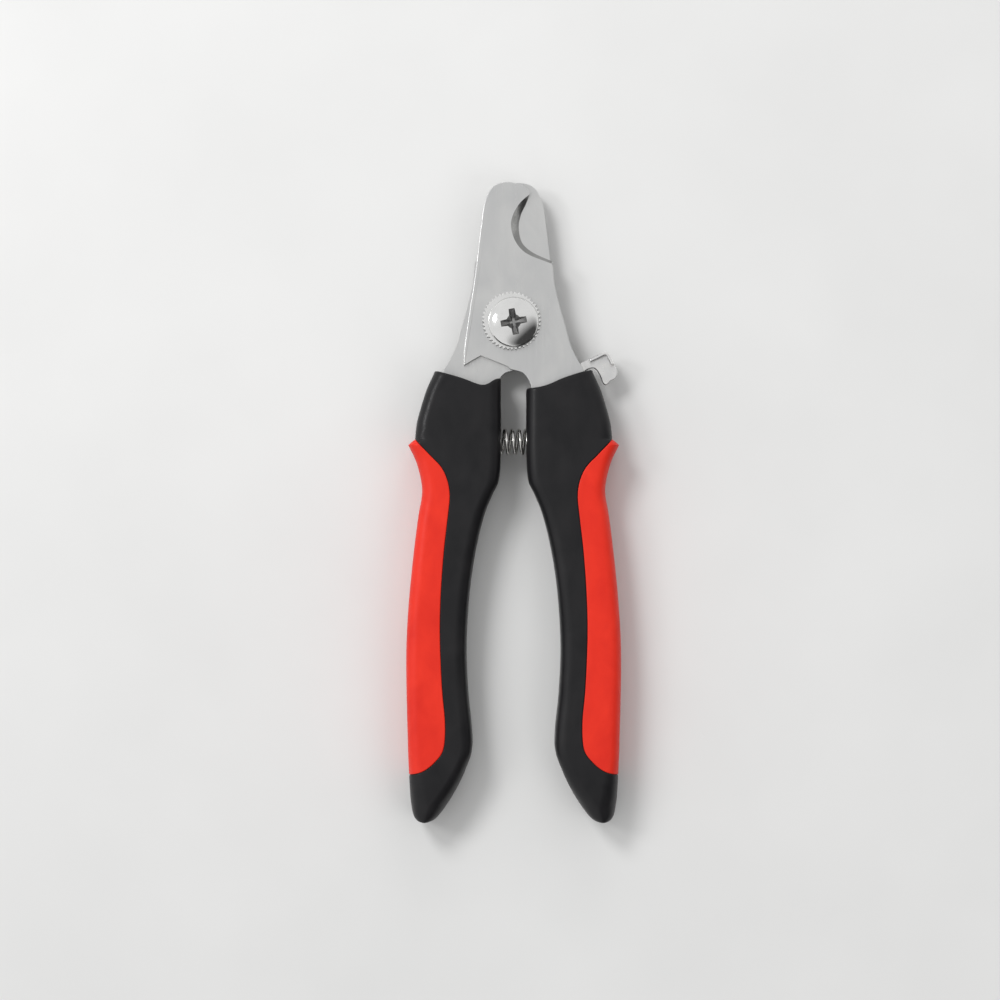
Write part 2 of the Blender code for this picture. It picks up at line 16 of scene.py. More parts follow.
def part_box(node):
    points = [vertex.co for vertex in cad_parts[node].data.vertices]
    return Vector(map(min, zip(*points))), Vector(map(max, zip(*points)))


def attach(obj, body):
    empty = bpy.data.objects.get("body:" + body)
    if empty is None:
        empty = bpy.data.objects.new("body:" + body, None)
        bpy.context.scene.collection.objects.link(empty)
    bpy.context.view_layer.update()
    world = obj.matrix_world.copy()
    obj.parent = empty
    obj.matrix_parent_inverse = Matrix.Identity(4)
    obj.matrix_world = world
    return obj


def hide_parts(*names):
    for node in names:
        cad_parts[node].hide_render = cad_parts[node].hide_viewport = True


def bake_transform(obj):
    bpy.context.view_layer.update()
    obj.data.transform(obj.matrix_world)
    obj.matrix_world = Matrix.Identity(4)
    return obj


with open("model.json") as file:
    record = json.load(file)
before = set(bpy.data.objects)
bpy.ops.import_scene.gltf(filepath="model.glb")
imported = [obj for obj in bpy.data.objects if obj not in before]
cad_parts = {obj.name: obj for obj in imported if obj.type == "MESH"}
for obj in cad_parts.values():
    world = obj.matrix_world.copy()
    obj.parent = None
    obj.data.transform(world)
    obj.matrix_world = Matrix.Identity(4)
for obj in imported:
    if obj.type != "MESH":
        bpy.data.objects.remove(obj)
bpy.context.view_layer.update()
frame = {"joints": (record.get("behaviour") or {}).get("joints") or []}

MM = 0.001

# How far a cutter reaches past what it cuts.
PAST = 1.0


def joint_axis(name):
    """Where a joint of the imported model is, in millimetres."""
    joint = next(j for j in frame["joints"] if j["name"] == name)
    return Vector(joint["pos_m"]) / MM


def heights(node):
    """A node's lowest and highest point, in millimetres."""
    low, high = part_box(node)
    return low.z / MM, high.z / MM


PIVOT = joint_axis("handle_pivot")
LOCK_PIVOT = joint_axis("lock_pivot")
SHEAR_PLANE = PIVOT.z
BLADE_Z = heights("front_blade")
LOCK_Z = heights("lock_lever")
WASHER_Z = heights("toothed_washer")
SCREW_Z = heights("pivot_screw")
NUT_Z = heights("lock_nut")
HALF_DEPTH = heights("right_handle")[1] / 2

# Blades: how far their edges are broken at the shear plane and outside, where along the outer break its
# middle section lies, over how many outline points the breaks fade towards the notch, how near the notch's
# outline the bevel's faces are, and how upright the normal of a face is that isn't part of the bevel.
BREAK_INSIDE = 0.06
BREAK_OUTSIDE = 0.22
BREAK_MIDDLE = 0.29
BREAK_FADE = 5
BEVEL_REACH = 0.35
FLAT_NORMAL = 0.98
BUSH_HOLE_RADIUS = 3.5
RIVET_HOLE_RADIUS = 1.35

# Handles and grips.
EDGE_RADIUS = 2.75
TOP_FILLET = 0.45
CROWN = 0.22
GRIP_THICKNESS = 1.8
GRIP_PROUD = 0.1
GRIP_HOLLOW_RADIUS = 0.95
CORE_INSET = 2.1
CORE_RADIUS = 0.65
SEAM_ROUNDING = 0.26
SEAM_GAP = 0.035
LEAST_WIDTH = 0.05
TANG_CLEARANCE = 0.14
TANG_GAP = 0.08

# Where the handle's head starts, and the x at which the height of a head's section is read; where its tip
# starts, where its lowest section is, where its thickness would run out, and how much it thins and rounds.
HEAD_START = 22.0
HEAD_X = 18.5
TIP_START = -66.0
TIP_ROWS_START = TIP_START - 0.4
LOWEST = -75.97
TIP_END = -76.4
TIP_THINNING = 2.6
TIP_SOFTENING = 0.12
TIP_SOFTENING_START = TIP_START + 6

# Pivot hardware. A row of the recess is its depth, its reach, half its arms' width and its middle's radius.
SCREW_HEAD_RADIUS = 6.0
SCREW_HEAD_HEIGHT = 3.0
SCREW_RIM_HEIGHT = 0.95
SCREW_DOME_HEIGHT = 2.05
SHANK_RADIUS = 2.45
SHANK_TIP_RADIUS = 2.05
RECESS_TURN = math.radians(10)
RECESS = [(-0.3, 3.3, 0.95, 1.9), (0.3, 3.1, 0.72, 1.62), (0.7, 2.75, 0.58, 1.35),
          (1.5, 1.9, 0.42, 0.8), (2.1, 0.9, 0.25, 0.4)]
RECESS_LIMIT = 3.6
RECESS_DROP = 0.03
TOOTHED_WASHER_CENTRE = (-0.5, 42.95)
TOOTHED_WASHER_RADIUS = 7.0
TOOTHED_WASHER_BORE = 3.15
TEETH = 44
TOOTH_DEPTHS = [0.0, 0.0, 0.2, 0.45, 0.45, 0.2]
NUT_FLATS = 8.0
NUT_BORE = 2.55
NUT_SEAT = 3.5

# Spring and lock.
SPRING_Y = 14.3
SPRING_MEAN_RADIUS = 2.8
SPRING_WIRE_RADIUS = 0.4
SPRING_HALF_LENGTH = 5.7
SPRING_TURNS = 6.5
LEVER_GAP = 0.05
LEVER_ROUNDING = 0.22
LEVER_HOLE_RADIUS = 1.3
RIM_ROUNDING = 0.36
RIM_INSET = 0.1
RIM_FOOT = 0.5
WAVES = 3

# Materials: the range that a noise's values mostly stay in.
NOISE_RANGE = (0.3, 0.7)

# Stage, in metres but for the floor. A lamp has a name, a place, a target, a size and a power in watts, and
# polished metal mirrors it or not. The photo shows a field of this width, about this centre.
FLOOR_HALF_SIZE = 1500.0
FLOOR_DROP = 0.05
LAMPS = [("key", (-0.34, 0.42, 0.6), (0, 0, 0), 0.26, 3.0, False),
         ("glint", (-0.56, 0.2, 0.56), (0, 0, 0), 0.21, 1.2, True),
         ("fill", (0.45, -0.25, 0.5), (0, 0, 0), 0.5, 1.0, False),
         ("rim", (0.1, 0.6, 0.25), (0, 0.02, 0), 0.3, 0.5, False)]
WORLD_STRENGTH = 0.79
BACKDROP_GREY = 0.78
FLAG_DIRECTION = (0.62, -0.62, 0.48)
FLAG_STOPS = [(0.0, 1.0), (0.56, 0.95), (0.75, 0.42), (0.87, 0.07)]
FIELD_CENTRE = (-0.00324, 0.00048)
FIELD_WIDTH = 0.2382
CAMERA_DISTANCE = 0.62


# ---------------------------------------------------------------- outlines

def smooth(points, steps):
    """A Catmull-Rom curve through the points, with this many steps from each point to the next."""
    knots = [Vector(p) for p in points]
    knots = [2 * knots[0] - knots[1], *knots, 2 * knots[-1] - knots[-2]]
    curve = []
    for a, b, c, d in zip(knots, knots[1:], knots[2:], knots[3:]):
        for step in range(steps):
            t = step / steps
            curve.append(0.5 * (2 * b + (c - a) * t + (2 * a - 5 * b + 4 * c - d) * t**2
                                + (3 * b - a - 3 * c + d) * t**3))
    return [tuple(p) for p in curve] + [tuple(points[-1])]


def arc(centre, radius, start, end, steps):
    """Points on a circle from start to end, in degrees."""
    angles = (math.radians(start + (end - start) * i / steps) for i in range(steps + 1))
    return [(centre[0] + radius * math.cos(a), centre[1] + radius * math.sin(a)) for a in angles]


def grow(outline, distances):
    """An anticlockwise outline with each point moved outwards by its distance."""
    if not hasattr(distances, "__len__"):
        distances = [distances] * len(outline)
    grown = []
    around = zip(outline[-1:] + outline[:-1], outline, outline[1:] + outline[:1], distances)
    for before, here, after, distance in around:
        inward = (Vector(here) - Vector(before)).normalized()
        onward = (Vector(after) - Vector(here)).normalized()
        normal = Vector((inward.y + onward.y, -inward.x - onward.x)).normalized()
        stretch = max(normal.dot(Vector((onward.y, -onward.x))), 0.6)
        grown.append(tuple(Vector(here) + normal * distance / stretch))
    return grown


def spread(points, count):
    """The same number of steps along any polyline, at even distances."""
    points = np.array(points, float)
    length = np.concatenate(([0], np.cumsum(np.linalg.norm(np.diff(points, axis=0), axis=1))))
    places = np.linspace(0, length[-1], count)
    return np.stack([np.interp(places, length, points[:, k]) for k in range(points.shape[1])], 1)


# ---------------------------------------------------------------- meshes

def new_object(name, bm):
    """A smooth-shaded object from a bmesh in millimetres, with its faces pointing out."""
    bmesh.ops.remove_doubles(bm, verts=bm.verts, dist=1e-4)
    bmesh.ops.dissolve_degenerate(bm, edges=bm.edges, dist=1e-5)
    bmesh.ops.recalc_face_normals(bm, faces=bm.faces)
    bmesh.ops.scale(bm, vec=(MM, MM, MM), verts=bm.verts)
    mesh = bpy.data.meshes.new(name)
    bm.to_mesh(mesh)
    bm.free()
    obj = bpy.data.objects.new(name, mesh)
    bpy.context.scene.collection.objects.link(obj)
    return obj


def shade(obj, sharp=32, flat_faces=True):
    """Smooth shading with creases where faces meet at more than an angle, in degrees.

    With flat_faces, large faces keep their own normals and only the narrow ones beside them are rounded off.
    """
    obj.data.shade_smooth()
    obj.data.set_sharp_from_angle(angle=math.radians(sharp))
    if flat_faces:
        weighted = obj.modifiers.new("weighted", "WEIGHTED_NORMAL")
        weighted.keep_sharp = True
        weighted.weight = 100
        settle(obj)


def half_turn(obj):
    """Turns a mesh half a turn about the trimmer's long axis, at the shear plane."""
    middle = Matrix.Translation((0, 0, SHEAR_PLANE * MM))
    obj.data.transform(middle @ Matrix.Rotation(math.pi, 4, "Y") @ middle.inverted())


def loft(name, sections, strips=False):
    """A solid through rings of equally many points, ending in single faces or in strips across a ring."""
    bm = bmesh.new()
    rings = [[bm.verts.new(p) for p in section] for section in sections]
    count = len(rings[0])
    for low, high in zip(rings, rings[1:]):
        for i in range(count):
            j = (i + 1) % count
            bm.faces.new((low[i], low[j], high[j], high[i]))
    for ring in (rings[0], rings[-1]):
        if not strips:
            bm.faces.new(ring)
            continue
        half = count // 2
        bm.faces.new((ring[0], ring[1], ring[-1]))
        bm.faces.new((ring[half], ring[half + 1], ring[half - 1]))
        for i in range(1, half - 1):
            bm.faces.new((ring[i], ring[i + 1], ring[count - i - 1], ring[count - i]))
    return new_object(name, bm)


def prism(name, outline, low, high):
    """A plate with this outline between two heights."""
    return loft(name, [[(x, y, z) for x, y in outline] for z in (low, high)])


def rounded_plate(name, outline, low, high, rounding, steps=4):
    """A plate whose top and bottom edges are rounded."""
    turns = [math.pi / 2 * i / steps for i in range(steps + 1)]
    rounded = [(rounding * (1 - math.sin(turn)), rounding * (1 - math.cos(turn))) for turn in turns]
    sections = [[(x, y, low + rise) for x, y in grow(outline, -inset)] for inset, rise in rounded]
    sections += [[(x, y, high - rise) for x, y in grow(outline, -inset)] for inset, rise in rounded[::-1]]
    return loft(name, sections)


def cylinder(name, centre, radius, low, high, steps=72):
    """A round bar along Z."""
    return prism(name, arc(centre, radius, 0, 360, steps)[:-1], low, high)


def turned(name, centre, profile, steps=96, lift=lambda angle: 0.0):
    """A round solid about a vertical axis, from (radius, height) points that run around its section.

    Each section can be lifted by an amount that follows its angle.
    """
    bm = bmesh.new()
    rings = []
    for i in range(steps):
        angle = 2 * math.pi * i / steps
        x, y, rise = math.cos(angle), math.sin(angle), lift(angle)
        rings.append([bm.verts.new((centre[0] + r * x, centre[1] + r * y, rise + z)) for r, z in profile])
    for ring, following in zip(rings, rings[1:] + rings[:1]):
        for i in range(len(profile)):
            j = (i + 1) % len(profile)
            bm.faces.new((ring[i], ring[j], following[j], following[i]))
    return new_object(name, bm)


def settle(obj):
    """Turns an object's modifiers into its mesh."""
    graph = bpy.context.evaluated_depsgraph_get()
    mesh = bpy.data.meshes.new_from_object(obj.evaluated_get(graph))
    obj.modifiers.clear()
    obj.data = mesh


def combine(obj, other, operation="DIFFERENCE"):
    """Joins or cuts a solid with a helper, which is then deleted."""
    modifier = obj.modifiers.new(other.name, "BOOLEAN")
    modifier.object = other
    modifier.operation = operation
    modifier.solver = "EXACT"
    settle(obj)
    bpy.data.objects.remove(other)


def break_edges(obj, width, angle):
    """Rounds a solid's edges where its faces meet at more than an angle, in degrees."""
    bevel = obj.modifiers.new("edges", "BEVEL")
    bevel.width = width * MM
    bevel.segments = 2
    bevel.limit_method = "ANGLE"
    bevel.angle_limit = math.radians(angle)
    settle(obj)


def place(obj, body, slot, material, *nodes):
    """Says what a finished piece moves with, which finish it has and which CAD nodes it stands for."""
    obj.data.materials.clear()
    obj.data.materials.append(material)
    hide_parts(*nodes)
    if body:
        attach(obj, body)
    return obj


# ---------------------------------------------------------------- materials

def set_stops(node, stops):
    """Gives a colour ramp these (position, colour) stops."""
    elements = node.color_ramp.elements
    while len(elements) < len(stops):
        elements.new(0.5)
    for element, (position, colour) in zip(elements, stops):
        element.position = position
        element.color = (*colour, 1)


class Finish:
    """A node material that is built up from its Principled shader."""

    def __init__(self, name, roughness, metallic, specular=0.5):
        self.material = bpy.data.materials.new(name)
        self.material.use_nodes = True
        self.nodes = self.material.node_tree.nodes
        self.links = self.material.node_tree.links
        self.shader = self.nodes["Principled BSDF"]
        self.shader.inputs["Roughness"].default_value = roughness
        self.shader.inputs["Metallic"].default_value = metallic
        self.shader.inputs["Specular IOR Level"].default_value = specular
        self.where = self.nodes.new("ShaderNodeTexCoord").outputs["Object"]

    def noise(self, size, detail=3.0, roughness=0.55, distortion=0.0):
        """Noise whose features are about this many millimetres along X, Y and Z."""
        mapping = self.nodes.new("ShaderNodeMapping")
        mapping.inputs["Scale"].default_value = [1 / (s * MM) for s in size]
        self.links.new(self.where, mapping.inputs["Vector"])
        noise = self.nodes.new("ShaderNodeTexNoise")
        noise.inputs["Scale"].default_value = 1.0
        noise.inputs["Detail"].default_value = detail
        noise.inputs["Roughness"].default_value = roughness
        noise.inputs["Distortion"].default_value = distortion
        self.links.new(mapping.outputs["Vector"], noise.inputs["Vector"])
        return noise.outputs["Fac"]

    def colour(self, value, low, high, positions=NOISE_RANGE):
        """The base colour follows a value, from a low colour to a high one."""
        ramp = self.nodes.new("ShaderNodeValToRGB")
        set_stops(ramp, list(zip(positions, (low, high))))
        self.links.new(value, ramp.inputs["Fac"])
        self.links.new(ramp.outputs["Color"], self.shader.inputs["Base Color"])

    def rough(self, value, low, high):
        """The roughness follows a value."""
        spread_out = self.nodes.new("ShaderNodeMapRange")
        spread_out.inputs["From Min"].default_value = NOISE_RANGE[0]
        spread_out.inputs["From Max"].default_value = NOISE_RANGE[1]
        spread_out.inputs["To Min"].default_value = low
        spread_out.inputs["To Max"].default_value = high
        self.links.new(value, spread_out.inputs["Value"])
        self.links.new(spread_out.outputs["Result"], self.shader.inputs["Roughness"])

    def relief(self, *layers):
        """Fine relief from (value, depth in millimetres) layers, one on top of another."""
        normal = None
        for value, depth in layers:
            bump = self.nodes.new("ShaderNodeBump")
            bump.inputs["Strength"].default_value = 1.0
            bump.inputs["Distance"].default_value = depth * MM
            self.links.new(value, bump.inputs["Height"])
            if normal:
                self.links.new(normal, bump.inputs["Normal"])
            normal = bump.outputs["Normal"]
        self.links.new(normal, self.shader.inputs["Normal"])


def blade_steel():
    """Satin ground stainless steel: fine lines along the blade, faint clouding and a few scratches."""
    finish = Finish("blade_steel", 0.34, 1.0)
    lines = finish.noise((0.05, 2.4, 0.05), 3, 0.6)
    strokes = finish.noise((0.22, 9.0, 0.22), 3, 0.6)
    clouds = finish.noise((9.0, 13.0, 9.0), 4, 0.5, 0.6)
    finish.colour(clouds, (0.64, 0.645, 0.645), (0.74, 0.74, 0.73))
    finish.rough(strokes, 0.27, 0.4)
    grain = finish.noise((0.25, 0.3, 0.25), 2)
    finish.relief((clouds, 0.003), (strokes, 0.0008), (lines, 0.0008), (grain, 0.0012))
    return finish.material


def shaded_ground_steel():
    """The steep ground bevel: smoother than the blade's face, and coloured darker than it as painted shade
    for the dark look its tilt gives it.
    """
    finish = Finish("shaded_ground_steel", 0.2, 1.0)
    # Painted shade: the bevel is the blade's own steel, coloured darker here so that it reads dark.
    finish.colour(finish.noise((3.0, 3.0, 3.0), 3), (0.36, 0.36, 0.36), (0.44, 0.44, 0.43))
    finish.rough(finish.noise((0.6, 0.6, 2.0), 4), 0.13, 0.27)
    finish.relief((finish.noise((0.5, 0.5, 0.03), 3), 0.0008))
    return finish.material


def chrome():
    """Bright nickel-chrome plate with faint handling marks."""
    finish = Finish("hardware_chrome", 0.1, 1.0)
    finish.colour(finish.noise((4.0, 4.0, 4.0), 3), (0.8, 0.8, 0.79), (0.88, 0.88, 0.87))
    finish.rough(finish.noise((0.9, 0.9, 0.9), 5, 0.65), 0.06, 0.17)
    finish.relief((finish.noise((2.2, 2.2, 2.2), 2), 0.006))
    return finish.material


def stamped_steel(name, base=0.62, low=0.24, high=0.4):
    """Plain stamped or turned steel for the small parts."""
    finish = Finish(name, low, 1.0)
    bright = (base * 1.06, base * 1.05, base * 1.03)
    finish.colour(finish.noise((2.5, 2.5, 2.5), 4), (base * 0.93,) * 3, bright)
    finish.rough(finish.noise((0.7, 0.7, 0.7), 4), low, high)
    finish.relief((finish.noise((0.12, 0.6, 0.12), 3), 0.0015))
    return finish.material


def spring_wire():
    """Bright drawn wire with die lines."""
    finish = Finish("spring_wire", 0.2, 1.0)
    finish.colour(finish.noise((0.6, 0.6, 0.6), 3), (0.58, 0.57, 0.55), (0.74, 0.73, 0.71))
    finish.rough(finish.noise((0.3, 0.3, 0.3), 3), 0.14, 0.26)
    finish.relief((finish.noise((0.4, 0.06, 0.06), 2), 0.0012))
    return finish.material


def black_plastic():
    """Moulded black nylon: a fine spark-eroded grain, faint flow clouds and a soft gloss."""
    finish = Finish("handle_plastic", 0.36, 0.0, 0.28)
    clouds = finish.noise((6.0, 10.0, 6.0), 4, 0.5, 0.4)
    finish.colour(clouds, (0.006, 0.006, 0.007), (0.012, 0.0115, 0.0125))
    finish.rough(finish.noise((2.0, 2.0, 2.0), 5, 0.6), 0.29, 0.42)
    finish.relief((clouds, 0.015), (finish.noise((0.16, 0.16, 0.16), 2, 0.5), 0.0035))
    return finish.material


def red_rubber():
    """Soft moulded grip: orange-red, satin, with a very fine grain and a faint cloudy change of tone."""
    finish = Finish("grip_rubber", 0.48, 0.0, 0.34)
    clouds = finish.noise((5.0, 9.0, 5.0), 4, 0.5, 0.4)
    finish.colour(clouds, (0.60, 0.014, 0.004), (0.70, 0.024, 0.008), (0.28, 0.72))
    finish.rough(finish.noise((1.5, 1.5, 1.5), 5, 0.6), 0.4, 0.55)
    finish.relief((clouds, 0.02), (finish.noise((0.1, 0.1, 0.1), 2, 0.5), 0.0028))
    finish.shader.inputs["Sheen Weight"].default_value = 0.04
    finish.shader.inputs["Sheen Roughness"].default_value = 0.4
    return finish.material


def nylon():
    """The lock nut's milky nylon ring."""
    finish = Finish("nylon", 0.45, 0.0)
    finish.colour(finish.noise((1.0, 1.0, 1.0), 3), (0.5, 0.51, 0.46), (0.6, 0.61, 0.56))
    finish.relief((finish.noise((0.2, 0.2, 0.2), 2), 0.003))
    return finish.material


def floor_paint():
    """Plain pale floor."""
    finish = Finish("floor", 0.9, 0.0, 0.1)
    finish.colour(finish.noise((60.0, 60.0, 60.0), 3), (0.64, 0.64, 0.635), (0.67, 0.67, 0.665))
    return finish.material


# ---------------------------------------------------------------- blades

def blade_outline(bevel, detail):
    """A blade's outline, anticlockwise, and which of its points are on the notch.

    Bevel 0 is the outline at the shear plane and 1 the one at the blade's outer face.
    """
    right_edge = smooth([(17.2, 22.0), (17.2, 27.5), (16.6, 31.4), (15.3, 33.6), (13.6, 37.2),
                         (12.4, 41.5), (11.0, 46.4), (9.8, 51.6), (9.3, 56.2)], 2 * detail)
    cutting_edge = smooth([(9.2, 57.3), (4.6, 59.4), (2.0, 61.8), (1.2, 65.4), (1.7, 68.3),
                           (2.8, 70.7), (3.8, 73.1)], 3 * detail)
    bevel_top = smooth([(9.0, 56.6), (3.3, 58.9), (0.6, 61.6), (-0.6, 65.2), (-0.2, 68.1),
                        (1.5, 71.0), (3.8, 73.1)], 3 * detail)
    notch = [tuple(Vector(a).lerp(Vector(b), bevel)) for a, b in zip(cutting_edge, bevel_top)]
    left_edge = smooth([(3.9, 73.7), (2.2, 75.1), (-1.4, 76.0), (-4.7, 75.0), (-6.6, 71.9),
                        (-7.5, 67.5), (-9.1, 54.3), (-10.5, 45.0), (-11.7, 36.4), (-11.8, 32.4)],
                       3 * detail)
    lower_edge = smooth([(-7.8, 34.7), (-3.9, 33.2), (-1.5, 32.2)], detail)
    throat = smooth([(-0.7, 31.5), (0.6, 31.2), (2.1, 30.7), (3.2, 29.5), (4.1, 27.5), (4.4, 23.8)],
                    2 * detail)
    tang_inner = smooth([(7.5, 19.6), (7.5, 8.7), (9.0, 0.0), (12.6, -10.0), (14.6, -20.0),
                         (15.0, -32.0), (14.6, -45.0), (13.9, -55.0)], 2)
    tang_end = arc((15.6, -55.6), 1.8, 200, 340, 6)
    tang_outer = smooth([(18.0, -50.0), (18.7, -40.0), (18.7, -28.0), (17.9, -16.0),
                         (16.6, -6.0), (15.6, 4.0), (16.0, 14.0)], 2)
    rest = left_edge + lower_edge + throat + tang_inner + tang_end + tang_outer
    on_notch = [False] * len(right_edge) + [True] * len(notch) + [False] * len(rest)
    return right_edge + notch + rest, on_notch


def steps_from(marked, limit):
    """How many points away the nearest marked one is, up to a limit, round a closed outline."""
    return [
        min([abs(step) for step in range(-limit, limit) if marked[(i + step) % len(marked)]] + [limit])
        for i in range(len(marked))
    ]


def notch_distance(x, y, bevel):
    """How far a place is from the notch's outline at its own depth in the blade."""
    outline, on_notch = blade_outline(bevel, 2)
    return min(math.dist((x, y), point) for point, cut in zip(outline, on_notch) if cut)


def make_blade(name, body, material, shaded_bevel_material, has_rivet_hole):
    """A blade with softened edges, a ground bevel round its notch, and its holes."""
    low, high = BLADE_Z
    thick = high - low
    sections = []
    for depth, inset in ((0.0, BREAK_INSIDE), (BREAK_INSIDE, 0.0), (thick - BREAK_OUTSIDE, 0.0),
                         (thick - BREAK_MIDDLE * BREAK_OUTSIDE, BREAK_MIDDLE * BREAK_OUTSIDE),
                         (thick, BREAK_OUTSIDE)):
        outline, on_notch = blade_outline(depth / thick, 4)
        insets = [-inset * steps / BREAK_FADE for steps in steps_from(on_notch, BREAK_FADE)]
        sections.append([(x, y, low + depth) for x, y in grow(outline, insets)])
    blade = loft(name, sections)
    combine(blade, cylinder("bush_hole", PIVOT, BUSH_HOLE_RADIUS, low - PAST, high + PAST))
    if has_rivet_hole:
        combine(blade, cylinder("rivet_hole", LOCK_PIVOT, RIVET_HOLE_RADIUS, low - PAST, high + PAST))
    shade(blade)
    place(blade, None, "blade_steel", material, name)
    # The bevel's faces take the darker steel, whose darker colour is painted shade.
    blade.data.materials.append(shaded_bevel_material)
    for polygon in blade.data.polygons:
        x, y, z = polygon.center / MM
        if abs(polygon.normal.z) < FLAT_NORMAL and notch_distance(x, y, (z - low) / thick) < BEVEL_REACH:
            polygon.material_index = 1
    if name == "rear_blade":
        half_turn(blade)
    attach(blade, body)


# ---------------------------------------------------------------- handles and grips

INNER_RAIL = np.array(smooth([(3.0, 36.0), (3.0, 24.0), (3.0, 12.0), (3.5, 5.2), (4.9, 2.0),
                              (7.0, -3.3), (9.05, -11.9), (10.5, -22.0), (11.2, -34.0), (10.8, -45.0),
                              (9.9, -54.0), (9.9, -59.0), (11.3, -63.2), (13.1, -67.2), (15.4, -71.2),
                              (17.6, -74.2), (18.9, -75.4), (20.1, -75.9), (21.2, -76.0)], 10))
OUTER_RAIL = np.array(smooth([(18.4, 36.0), (18.6, 31.4), (20.8, 26.0), (22.8, 19.5), (23.4, 14.9)], 8)
                      + smooth([(25.0, 13.5), (22.9, 8.9), (21.7, 2.8), (22.6, -3.3), (23.7, -12.0),
                                (24.8, -23.0), (25.4, -33.0), (25.45, -42.0), (25.1, -57.0),
                                (24.8, -65.0), (24.5, -70.5), (23.9, -74.0), (23.1, -75.4),
                                (22.2, -75.9), (21.3, -76.0)], 10))
GRIP_EDGE = np.array(smooth([(23.6, 15.0), (19.9, 11.2), (17.0, 8.1), (15.5, 4.6), (15.1, 1.0),
                             (15.6, -4.0), (16.5, -12.0), (17.2, -22.0), (17.4, -32.0),
                             (16.9, -44.0), (16.2, -52.0), (16.5, -58.0), (18.2, -61.0),
                             (21.6, -63.7), (27.0, -65.0)], 12))
RIGHT_TOP_EDGE = np.array(smooth([(0.0, 26.8), (3.1, 26.9), (5.9, 27.2), (8.4, 27.9), (11.6, 29.3),
                                  (15.5, 30.6), (19.0, 31.45), (22.0, 32.0)], 6))
LEFT_TOP_EDGE = np.array(smooth([(0.0, 29.3), (2.4, 29.4), (3.9, 29.2), (5.0, 28.7), (6.3, 27.9),
                                 (8.1, 27.8), (12.5, 29.4), (17.8, 30.9), (22.0, 31.8)], 6))


def rail_x(rail, y):
    """The x at which a rail that runs down passes the height y."""
    return float(np.interp(-y, -rail[:, 1], rail[:, 0]))


def grip_range():
    """The highest and lowest y at which the grip reaches the handle's outer side."""
    rows = np.arange(16.0, -66.0, -0.01)
    inside = [y for y in rows if rail_x(GRIP_EDGE, y) < rail_x(OUTER_RAIL, y) - 0.02]
    return inside[0], inside[-1]


GRIP_TOP, GRIP_BOTTOM = grip_range()


def arm_rows():
    """The heights of the handle's cross-sections from the head down to the tip."""
    rows = list(np.arange(HEAD_START, GRIP_TOP + 0.6, -0.9))
    rows += list(np.linspace(GRIP_TOP + 0.6, GRIP_TOP, 5)[:-1])
    rows += list(np.linspace(GRIP_TOP, 10.0, 26)[:-1])
    rows += list(np.arange(10.0, -57.5, -0.95))
    rows += list(np.linspace(-57.5, GRIP_BOTTOM + 1.6, 10)[:-1])
    rows += list(np.linspace(GRIP_BOTTOM + 1.6, GRIP_BOTTOM, 18)[:-1])
    rows += list(np.linspace(GRIP_BOTTOM, TIP_ROWS_START, 5)[:-1])
    turns = np.linspace(0, math.pi / 2, 20)
    rows += list(TIP_ROWS_START + (LOWEST - TIP_ROWS_START) * np.sin(turns))
    return rows


def thickness(y, left, right, inset=0.0):
    """The rounding and the half thickness of the handle at y."""
    past = min(max((TIP_START - y) / (TIP_START - TIP_END), 0), 1)
    half = HALF_DEPTH - TIP_THINNING * (1 - math.sqrt(1 - past**2)) - inset
    radius = EDGE_RADIUS + TIP_SOFTENING * max(TIP_SOFTENING_START - y, 0)
    return max(min(radius - inset, 0.49 * (right - left)), LEAST_WIDTH), half


def half_height(x, left, right, radius, half):
    """Half the thickness of a crowned section with round edges, at x."""
    x = np.asarray(x, float)
    side = np.clip(np.minimum(x - left, right - x), 0, radius)
    crown = CROWN * (2 * (x - left) / (right - left) - 1) ** 2
    return half - radius - crown + np.sqrt(np.maximum(radius**2 - (radius - side) ** 2, 0))


def seam_distance(points):
    """How far points in plan are from the grip's edge."""
    a, b = GRIP_EDGE[:-1], GRIP_EDGE[1:]
    along = b - a
    offset = points[:, None, :] - a[None]
    t = np.clip((offset * along).sum(2) / (along**2).sum(1), 0, 1)
    return np.linalg.norm(offset - t[..., None] * along, axis=2).min(1)


def soften_seam(front, y):
    """Rounds the surface down to the seam between the grip and the handle."""
    plan = np.stack([front[:, 0], np.full(len(front), y)], 1)
    near = np.clip(1 - seam_distance(plan) / SEAM_ROUNDING, 0, 1)
    drop = SEAM_ROUNDING * (1 - np.sqrt(1 - near**2))
    tangent = np.gradient(front, axis=0)
    normal = np.stack([-tangent[:, 1], tangent[:, 0]], 1)
    normal /= np.maximum(np.linalg.norm(normal, axis=1), 1e-9)[:, None]
    return front - normal * drop[:, None]


def seam_slope(y):
    """How much longer the seam is than its change in height, at y."""
    step = 0.05
    change = (rail_x(GRIP_EDGE, y + step) - rail_x(GRIP_EDGE, y - step)) / (2 * step)
    return math.sqrt(1 + change**2)


def towards_seam(start, end, count):
    """Positions from start to end that crowd together near the end."""
    near = [0.0, 0.25, 0.55, 0.8, 1.0]
    width = min(abs(end - start) * 0.4, 1.6 * SEAM_ROUNDING)
    sign = 1 if end > start else -1
    far = list(np.linspace(start, end - sign * width, count - len(near) + 1))[:-1]
    return far + [end - sign * width * (1 - n) for n in near]


def core_side(start, left, right, half):
    """The rest of a handle's half section where a grip covers it: down its core's outer side."""
    core_right = right - CORE_INSET
    if core_right <= start[0] + LEAST_WIDTH:
        return [tuple(start), (start[0], 0.0)]
    x_core = start[0] + (core_right - start[0]) * np.sin(np.linspace(0, math.pi / 2, 24))
    core_half = half + GRIP_PROUD - CORE_INSET
    core_heights = half_height(x_core, left + CORE_INSET, core_right, CORE_RADIUS, core_half)
    return [tuple(start), *zip(x_core, core_heights), (core_right, 0.0)]


